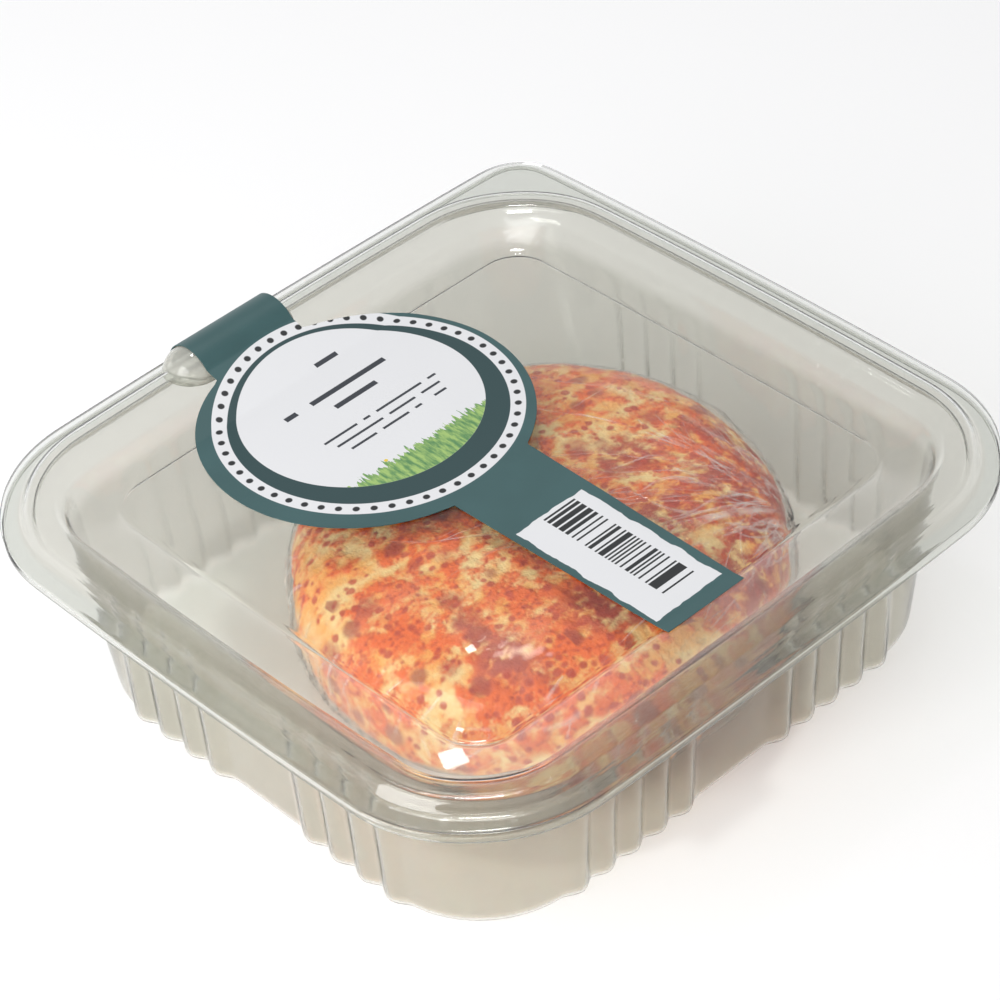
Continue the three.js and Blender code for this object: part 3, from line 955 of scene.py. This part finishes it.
def filmMaterial():
    look = filmLook
    material, tree, shader, place = newMaterial("clearFilm", look["tint"])
    makeClear(shader, look["ior"])
    streak = noiseNode(tree, stretched(tree, place, look["streaks"], look["streakTurn"]), 1.0, 2, 0.6)
    addRoughness(tree, shader, spread(tree, streak, 0.5, 0.75), 0.05, 0.01)
    addBump(tree, shader, streak, *look["streakBump"])
    letLampsThrough(tree, shader.outputs["BSDF"], look["tint"])
    return material


wrapFilm = makeFilm(filmMaterial())
print("film made")


# Folds: narrow doubled creases of the film, most of them out from the gather, with a pale colour painted for
# the sheen they catch

foldShape = {
    "seed": 11, "steps": 18, "lift": 0.12, "wander": 0.22, "rayFrom": 0.12, "headings": (50, 220),
    "gatherReach": {"short": 9, "long": 24}, "gatherRise": 14, "roundSide": (120, 330), "sideReach": 52,
    "sideHeights": (20, 34), "looseX": (-28, 34), "looseY": (-38, 30), "looseHeight": 60,
    "long": (34, 18, 58, 0.2, 0.6), "short": (60, 6, 22, 0.4, 1.5), "side": (44, 7, 20, 0.5, 1.8),
    "loose": (24, 5, 26, 0.15, 0.5),
}


# A line over the film from a start in plan, in a heading, found by looking down or inwards at it.
def foldLine(film, start, heading, length, seed):
    inside = Vector((*cheeseShape["centre"], 8.0)) * mm
    points = []
    place = Vector(start) * mm
    for step in range(foldShape["steps"] + 1):
        away = (place - inside).normalized()
        hit, spot, normal = film.ray_cast(inside + away * foldShape["rayFrom"], -away)[:3]
        if not hit:
            return []
        points.append((spot + normal * foldShape["lift"] * mm, normal))
        swing = foldShape["wander"] * noise.noise(Vector((seed, step * 0.16, 0.5)))
        way = Vector(heading) + normal.cross(Vector(heading)) * swing
        way = (way - normal * way.dot(normal)).normalized()
        place = spot + way * length * mm / foldShape["steps"]
        heading = way
    return points


def addFold(points, width, index):
    steps = foldShape["steps"]
    fold = addPiece("fold" + str(index), bpy.ops.mesh.primitive_grid_add,
                    x_subdivisions=2, y_subdivisions=steps, size=0.01)
    places = []
    for step, (spot, normal) in enumerate(points):
        before = points[max(0, step - 1)][0]
        after = points[min(steps, step + 1)][0]
        across = (after - before).cross(normal).normalized()
        half = width * mm * (0.15 + math.sin(math.pi * (step + 0.4) / (steps + 0.8)) ** 0.6) / 2
        for side in (-1, 0, 1):
            places.append(spot + across * half * side + normal * half * 0.4 * (1 - abs(side)))
    setPlaces(fold.data, places)
    return fold


def makeFolds(film, material):
    shape = foldShape
    random = Random(shape["seed"])
    gather = Vector(filmShape["gather"])

    def anglesIn(ends):
        return random.uniform(*(math.radians(end) for end in ends))

    folds = []
    for kind in ("long", "short", "side", "loose"):
        count, shortest, longest, thin, thick = shape[kind]
        for number in range(count):
            angle = anglesIn(shape["headings"])
            if kind in shape["gatherReach"]:
                out = random.uniform(0, shape["gatherReach"][kind])
                rise = random.uniform(0, shape["gatherRise"])
                start = gather + Vector((math.cos(angle) * out, math.sin(angle) * out, rise))
                heading = (math.cos(angle), math.sin(angle), 0.2)
            elif kind == "side":
                around, reach = anglesIn(shape["roundSide"]), shape["sideReach"]
                height = random.uniform(*shape["sideHeights"])
                start = Vector((3 + reach * math.cos(around), -6 + reach * math.sin(around), height))
                heading = (0.35 * math.sin(around), -0.35 * math.cos(around), -1.0)
            else:
                x, y = random.uniform(*shape["looseX"]), random.uniform(*shape["looseY"])
                start = Vector((x, y, shape["looseHeight"]))
                heading = (math.cos(angle * 2), math.sin(angle * 2), 0)
            length = random.uniform(shortest, longest)
            points = foldLine(film, start, heading, length, number * 3.7)
            if points:
                folds.append(addFold(points, random.uniform(thin, thick), len(folds)))
    joined = joinPieces("filmFolds", folds)
    bpy.ops.object.shade_smooth()
    finishPiece(joined, material, "cheese")
    return joined


def foldMaterial():
    look = filmLook
    material, tree, shader, place = newMaterial("filmFold", look["fold"])
    shader.inputs["Roughness"].default_value = look["foldRoughness"]
    patchy = spread(tree, noiseNode(tree, place, 160, 3, 0.6), 0.35, 0.62)
    across = splitAxes(tree, tree.nodes.new("ShaderNodeTexCoord").outputs["UV"])["X"]
    fromMiddle = mathNode(tree, "ABSOLUTE", mathNode(tree, "MULTIPLY_ADD", across, 2, -1))
    soft = mathNode(tree, "SUBTRACT", 1.0, spread(tree, fromMiddle, 0.0, 1.0))
    alpha = times(tree, times(tree, patchy, look["foldAlpha"]), soft)
    tree.links.new(alpha, shader.inputs["Alpha"])
    return material


# Tucks: small flat facets where the film is folded over, square to the mirror of the overhead lamp.
# Each is its place, its two sides, its turn in degrees and the way it faces.
tuckShape = {
    "thickness": 0.05, "lift": 0.25, "out": 0.75, "bevel": 0.02, "middle": 16,
    "tucks": ((-38.1, -29.0, 18.8, 4.2, 3.6, 20, (-0.151, -0.165, 0.975)),
              (-37.0, -28.8, 22.3, 1.3, 0.7, -15, (-0.151, -0.165, 0.975)),
              (-27.9, -22.8, 29.9, 1.5, 1.4, 30, (-0.167, -0.173, 0.970)),
              (-0.7, -46.5, 27.1, 1.6, 1.1, 0, (-0.211, -0.134, 0.968))),
}


def makeTucks(material):
    shape = tuckShape
    middle = Vector((*cheeseShape["centre"], shape["middle"])) * mm
    tucks = []
    for number, (x, y, z, wide, deep, turn, facing) in enumerate(shape["tucks"]):
        place = Vector((x, y, z)) * mm
        place += (place - middle).normalized() * (shape["lift"] + deep * shape["out"]) * mm
        tuck = addPiece("tuck" + str(number), bpy.ops.mesh.primitive_plane_add, size=1.0, location=place)
        tuck.rotation_mode = "QUATERNION"
        flat = Quaternion((0, 0, 1), math.radians(turn))
        tuck.rotation_quaternion = Vector(facing).to_track_quat("Z", "Y") @ flat
        tuck.scale = (wide * mm, deep * mm, 1)
        applyPlace(tuck)
        tucks.append(tuck)
    joined = joinPieces("filmTucks", tucks)
    applyModifier(joined, "SOLIDIFY", thickness=shape["thickness"] * mm, offset=-1)
    applyModifier(joined, "BEVEL", width=shape["bevel"] * mm, segments=1)
    finishPiece(joined, material, "cheese")
    return joined


def tuckMaterial():
    look = filmLook
    material, tree, shader, place = newMaterial("filmTuck", look["tint"])
    makeClear(shader, look["tuckIor"])
    addRoughness(tree, shader, noiseNode(tree, place, 300), look["tuckRoughness"], 0.0)
    letLampsThrough(tree, shader.outputs["BSDF"], look["tint"])
    return material


filmTucks = makeTucks(tuckMaterial())
filmFolds = makeFolds(wrapFilm, foldMaterial())
print("folds made:", len(filmFolds.data.polygons), "faces")


# Camera, lamps and floor

cameraShape = {
    "place": (-307.426, -365.914, 429.146), "turn": (50.030, 4.374, -43.688), "lens": 133.0, "sensor": 36.0,
}


def makeCamera():
    shape = cameraShape
    data = bpy.data.cameras.new("camera")
    data.lens = shape["lens"]
    data.sensor_width = shape["sensor"]
    data.clip_start = 0.01
    camera = bpy.data.objects.new("camera", data)
    bpy.context.scene.collection.objects.link(camera)
    camera.location = Vector(shape["place"]) * mm
    camera.rotation_euler = [math.radians(angle) for angle in shape["turn"]]
    bpy.context.scene.camera = camera


lampShape = {
    "softbox": {"place": (0.16, 0.26, 0.95), "size": 0.11, "power": 1.6},
    "key": {"place": (-0.47, 0.02, 0.33), "size": 0.36, "power": 2.05},
}
# The room is bright round one direction, and low down all round; sweep is how much brighter it is there.
roomShape = {
    "bright": (-0.85, -0.35, 0.30), "brightFrom": (-0.5, 0.7), "least": 0.15, "most": 0.80,
    "sweep": 1.5, "sweepEnds": (0.18, 0.5), "colour": (0.99, 0.99, 1.0),
}


def makeLamps():
    for name, lamp in lampShape.items():
        data = bpy.data.lights.new(name, "AREA")
        data.shape = "SQUARE"
        data.size = lamp["size"]
        data.energy = lamp["power"]
        light = bpy.data.objects.new(name, data)
        light.location = lamp["place"]
        light.rotation_mode = "QUATERNION"
        light.rotation_quaternion = (-Vector(lamp["place"])).to_track_quat("-Z", "Y")
        bpy.context.scene.collection.objects.link(light)


def makeRoom():
    shape = roomShape
    world = bpy.data.worlds.new("studio")
    world.use_nodes = True
    tree = world.node_tree
    direction = tree.nodes.new("ShaderNodeTexCoord").outputs["Generated"]
    facing = tree.nodes.new("ShaderNodeVectorMath")
    facing.operation = "DOT_PRODUCT"
    facing.inputs[1].default_value = Vector(shape["bright"]).normalized()
    tree.links.new(direction, facing.inputs[0])
    high = spread(tree, splitAxes(tree, direction)["Z"], *shape["sweepEnds"])
    sweep = mathNode(tree, "SUBTRACT", shape["sweep"], high)
    level = mathNode(tree, "MAXIMUM", spread(tree, facing.outputs["Value"], *shape["brightFrom"]), sweep)
    strength = mathNode(tree, "MULTIPLY_ADD", level, shape["most"] - shape["least"], shape["least"])
    background = tree.nodes["Background"]
    background.inputs["Color"].default_value = (*shape["colour"], 1)
    tree.links.new(strength, background.inputs["Strength"])
    bpy.context.scene.world = world


floorShape = {"size": 6.0, "under": 0.0001, "colour": (0.94, 0.94, 0.94), "rough": (0.1, 0.6)}


def makeFloor():
    shape = floorShape
    floor = addPiece("floor", bpy.ops.mesh.primitive_plane_add,
                     size=shape["size"], location=(0, 0, -shape["under"]))
    applyPlace(floor)
    material, tree, shader, place = newMaterial("paleFloor", shape["colour"])
    addRoughness(tree, shader, noiseNode(tree, place, 40), *shape["rough"])
    floor.data.materials.append(material)


makeCamera()
makeLamps()
makeRoom()
makeFloor()
bpy.context.scene.view_settings.view_transform = "Standard"
# Enough bounces for the sheets in front of each other, and few enough for a short render.
cycles = bpy.context.scene.cycles
cycles.transparent_max_bounces = 24
cycles.diffuse_bounces = 2
cycles.glossy_bounces = 2
cycles.transmission_bounces = 8
print("camera, lamps and floor made")
